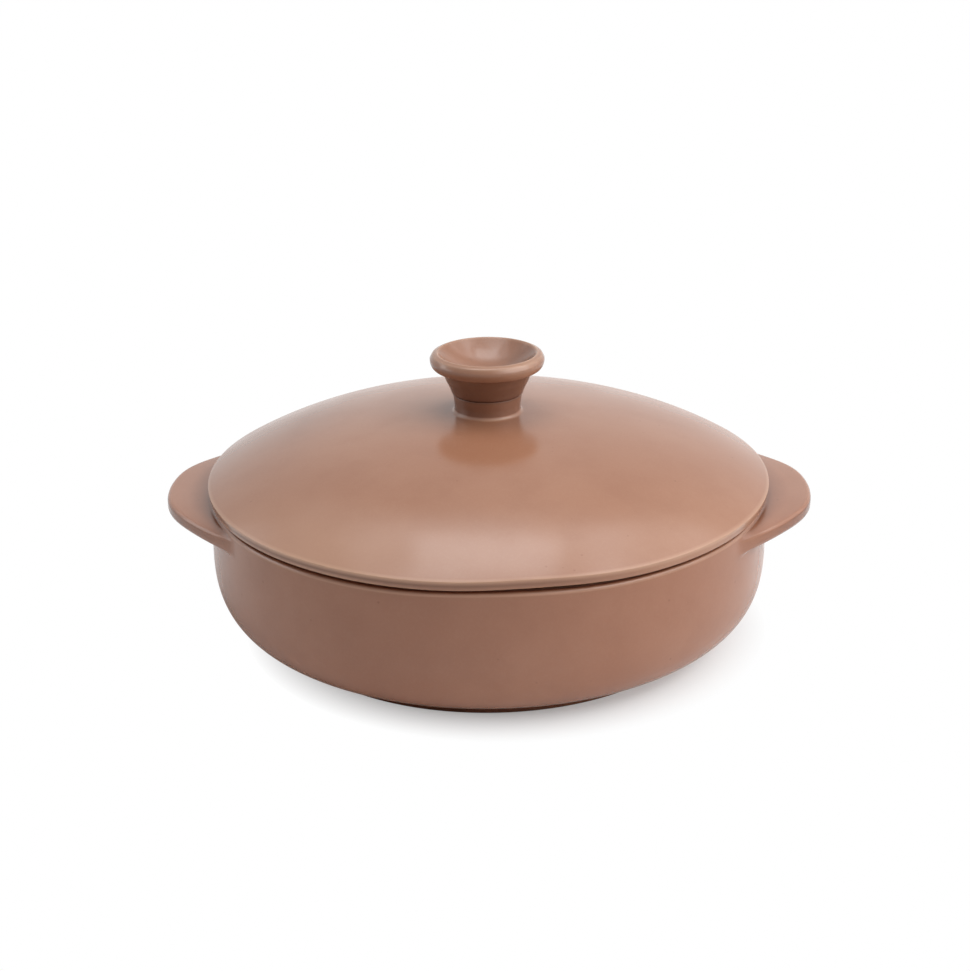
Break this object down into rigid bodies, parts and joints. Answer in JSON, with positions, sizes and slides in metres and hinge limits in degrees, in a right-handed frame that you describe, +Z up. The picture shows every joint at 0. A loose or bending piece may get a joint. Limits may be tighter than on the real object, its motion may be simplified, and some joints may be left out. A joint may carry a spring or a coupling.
{
  "type": "stoneware casserole dish",
  "caption": "Low round glazed stoneware casserole with tab handles at the rim and a domed lift-off lid with a waisted knob.",
  "frame": {"origin": "centre of the foot ring, on the surface that the dish rests on", "axes": "+X runs along the two tab handles, +Z is up, and -Y is the front"},
  "size_m": [0.304, 0.264, 0.1355],
  "materials": {
    "dish_glaze": "satin",
    "lid_glaze": "satin",
    "knob_glaze": "satin"
  },
  "bodies": {
    "dish": {"dish": "dish_glaze"},
    "lid": {"lid": "lid_glaze", "knob": "knob_glaze"}
  },
  "joints": [
    {"name": "lid_lift", "type": "slide", "parent": "dish", "child": "lid", "axis": [0, 0, 1], "range_m": [0, 0.12]}
  ]
}
